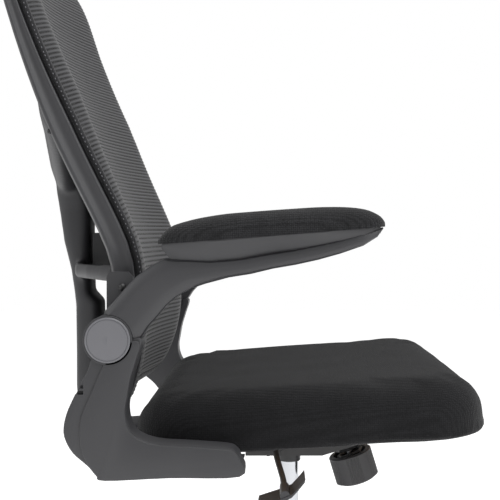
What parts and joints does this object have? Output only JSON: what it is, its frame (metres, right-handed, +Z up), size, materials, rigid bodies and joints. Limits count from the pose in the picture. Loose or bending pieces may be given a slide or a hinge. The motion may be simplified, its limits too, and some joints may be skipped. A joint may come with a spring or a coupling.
{
  "type": "office chair",
  "caption": "Swivel office chair with a mesh back, flip-up armrests, a padded seat, a gas lift with tilt and a caster base.",
  "frame": {"origin": "on the floor under the axis of the gas lift", "axes": "+Z up, the sitter faces -Y, the sitter's right hand is on the -X side"},
  "size_m": [0.63, 0.7498, 1.108],
  "materials": {
    "nylon": "fine grained",
    "bearing_plastic": "smooth",
    "zinc_steel": "zinc plated",
    "lift_chrome": "polished",
    "black_steel": "satin powder coat",
    "black_screws": "black oxide",
    "grey_plastic": "fine leather grain",
    "black_plastic": "smooth",
    "disc_plastic": "satin",
    "wheel_plastic": "satin",
    "plywood": "raw",
    "seat_fabric": "air mesh",
    "pad_fabric": "woven",
    "mesh_fabric": "ribbed open mesh",
    "band_fabric": "stitched"
  },
  "bodies": {
    "base": {"base_star": "nylon", "caster_stems": "zinc_steel", "lift_column": "black_steel", "guide_bush": "bearing_plastic", "thrust_bearing": "zinc_steel"},
    "rod": {"piston_rod": "zinc_steel", "rod_clip": "black_steel"},
    "lift": {"lift_cylinder": "lift_chrome", "mechanism_housing": "black_steel", "tilt_bushes": "bearing_plastic"},
    "button": {"release_button": "zinc_steel"},
    "lever": {"lever_crank": "black_steel"},
    "lever_pull": {"lever_rod": "grey_plastic", "lever_paddle": "grey_plastic"},
    "seat": {"seat_plate": "black_steel", "tilt_shaft": "zinc_steel", "tension_bolt": "zinc_steel", "tension_spring": "black_steel", "seat_board": "plywood", "seat_cushion": "seat_fabric", "m6_bolts": "black_screws", "arm_bracket_right": "grey_plastic", "arm_bracket_left": "grey_plastic", "pivot_bolts": "black_screws", "pivot_caps": "disc_plastic", "ear_plate_right": "grey_plastic", "ear_plate_left": "grey_plastic", "back_support": "grey_plastic", "back_frame": "grey_plastic", "back_mesh": "mesh_fabric", "mesh_edge_band": "band_fabric", "frame_screws": "black_screws"},
    "knob": {"tension_knob": "grey_plastic"},
    "lumbar": {"lumbar_support": "black_plastic"},
    "arm_right": {"arm_body_right": "grey_plastic", "arm_pad_right": "pad_fabric"},
    "arm_left": {"arm_body_left": "grey_plastic", "arm_pad_left": "pad_fabric"},
    "caster_1": {"caster_1_housing": "grey_plastic", "caster_1_axle": "zinc_steel"},
    "caster_1_wheel_a": {"caster_1_wheel_a": "wheel_plastic"},
    "caster_1_wheel_b": {"caster_1_wheel_b": "wheel_plastic"},
    "caster_2": {"caster_2_housing": "grey_plastic", "caster_2_axle": "zinc_steel"},
    "caster_2_wheel_a": {"caster_2_wheel_a": "wheel_plastic"},
    "caster_2_wheel_b": {"caster_2_wheel_b": "wheel_plastic"},
    "caster_3": {"caster_3_housing": "grey_plastic", "caster_3_axle": "zinc_steel"},
    "caster_3_wheel_a": {"caster_3_wheel_a": "wheel_plastic"},
    "caster_3_wheel_b": {"caster_3_wheel_b": "wheel_plastic"},
    "caster_4": {"caster_4_housing": "grey_plastic", "caster_4_axle": "zinc_steel"},
    "caster_4_wheel_a": {"caster_4_wheel_a": "wheel_plastic"},
    "caster_4_wheel_b": {"caster_4_wheel_b": "wheel_plastic"},
    "caster_5": {"caster_5_housing": "grey_plastic", "caster_5_axle": "zinc_steel"},
    "caster_5_wheel_a": {"caster_5_wheel_a": "wheel_plastic"},
    "caster_5_wheel_b": {"caster_5_wheel_b": "wheel_plastic"}
  },
  "joints": [
    {"name": "seat_swivel", "type": "hinge", "parent": "base", "child": "rod", "pos_m": [0, 0, 0.1], "axis": [0, 0, 1], "continuous": true},
    {"name": "seat_lift", "type": "slide", "parent": "rod", "child": "lift", "axis": [0, 0, 1], "range_m": [-0.068, 0.03]},
    {"name": "valve_press", "type": "slide", "parent": "lift", "child": "button", "axis": [0, 0, 1], "range_m": [-0.0032, 0]},
    {"name": "lever_lift", "type": "hinge", "parent": "lift", "child": "lever", "pos_m": [-0.052, 0.02, 0.372], "axis": [0, 1, 0], "range_deg": [0, 3.2]},
    {"name": "lever_slide", "type": "slide", "parent": "lever", "child": "lever_pull", "axis": [-1, 0, 0], "range_m": [0, 0.012]},
    {"name": "seat_tilt", "type": "hinge", "parent": "lift", "child": "seat", "pos_m": [0, -0.038, 0.38], "axis": [-1, 0, 0], "range_deg": [0, 12], "stiffness_Nm_per_rad": 80, "springref_deg": -20.05, "deforming": ["tension_spring"]},
    {"name": "tension_turn", "type": "hinge", "parent": "seat", "child": "knob", "pos_m": [0, -0.094, 0.33], "axis": [0, 0.2924, 0.9563], "continuous": true},
    {"name": "lumbar_height", "type": "slide", "parent": "seat", "child": "lumbar", "axis": [0, 0, 1], "range_m": [-0.02, 0.02]},
    {"name": "arm_right_flip", "type": "hinge", "parent": "seat", "child": "arm_right", "pos_m": [-0.277, 0.21, 0.549], "axis": [-1, 0, 0], "range_deg": [0, 90]},
    {"name": "arm_left_flip", "type": "hinge", "parent": "seat", "child": "arm_left", "pos_m": [0.277, 0.21, 0.549], "axis": [-1, 0, 0], "range_deg": [0, 90]},
    {"name": "caster_1_swivel", "type": "hinge", "parent": "base", "child": "caster_1", "pos_m": [0, -0.29, 0.06], "axis": [0, 0, 1], "continuous": true},
    {"name": "caster_1_roll_a", "type": "hinge", "parent": "caster_1", "child": "caster_1_wheel_a", "pos_m": [0.02, -0.29, 0.025], "axis": [0, -1, 0], "continuous": true},
    {"name": "caster_1_roll_b", "type": "hinge", "parent": "caster_1", "child": "caster_1_wheel_b", "pos_m": [0.02, -0.29, 0.025], "axis": [0, -1, 0], "continuous": true},
    {"name": "caster_2_swivel", "type": "hinge", "parent": "base", "child": "caster_2", "pos_m": [0.27581, -0.08962, 0.06], "axis": [0, 0, 1], "continuous": true},
    {"name": "caster_2_roll_a", "type": "hinge", "parent": "caster_2", "child": "caster_2_wheel_a", "pos_m": [0.28199, -0.07059, 0.025], "axis": [0.9511, -0.309, 0], "continuous": true},
    {"name": "caster_2_roll_b", "type": "hinge", "parent": "caster_2", "child": "caster_2_wheel_b", "pos_m": [0.28199, -0.07059, 0.025], "axis": [0.9511, -0.309, 0], "continuous": true},
    {"name": "caster_3_swivel", "type": "hinge", "parent": "base", "child": "caster_3", "pos_m": [0.17046, 0.23461, 0.06], "axis": [0, 0, 1], "continuous": true},
    {"name": "caster_3_roll_a", "type": "hinge", "parent": "caster_3", "child": "caster_3_wheel_a", "pos_m": [0.15428, 0.24637, 0.025], "axis": [0.5878, 0.809, 0], "continuous": true},
    {"name": "caster_3_roll_b", "type": "hinge", "parent": "caster_3", "child": "caster_3_wheel_b", "pos_m": [0.15428, 0.24637, 0.025], "axis": [0.5878, 0.809, 0], "continuous": true},
    {"name": "caster_4_swivel", "type": "hinge", "parent": "base", "child": "caster_4", "pos_m": [-0.17046, 0.23461, 0.06], "axis": [0, 0, 1], "continuous": true},
    {"name": "caster_4_roll_a", "type": "hinge", "parent": "caster_4", "child": "caster_4_wheel_a", "pos_m": [-0.18664, 0.22286, 0.025], "axis": [-0.5878, 0.809, 0], "continuous": true},
    {"name": "caster_4_roll_b", "type": "hinge", "parent": "caster_4", "child": "caster_4_wheel_b", "pos_m": [-0.18664, 0.22286, 0.025], "axis": [-0.5878, 0.809, 0], "continuous": true},
    {"name": "caster_5_swivel", "type": "hinge", "parent": "base", "child": "caster_5", "pos_m": [-0.27581, -0.08962, 0.06], "axis": [0, 0, 1], "continuous": true},
    {"name": "caster_5_roll_a", "type": "hinge", "parent": "caster_5", "child": "caster_5_wheel_a", "pos_m": [-0.26963, -0.10864, 0.025], "axis": [-0.9511, -0.309, 0], "continuous": true},
    {"name": "caster_5_roll_b", "type": "hinge", "parent": "caster_5", "child": "caster_5_wheel_b", "pos_m": [-0.26963, -0.10864, 0.025], "axis": [-0.9511, -0.309, 0], "continuous": true}
  ],
  "couplings": [
    {"joint": "valve_press", "follows": "lever_lift", "m_per_rad": -0.056}
  ]
}
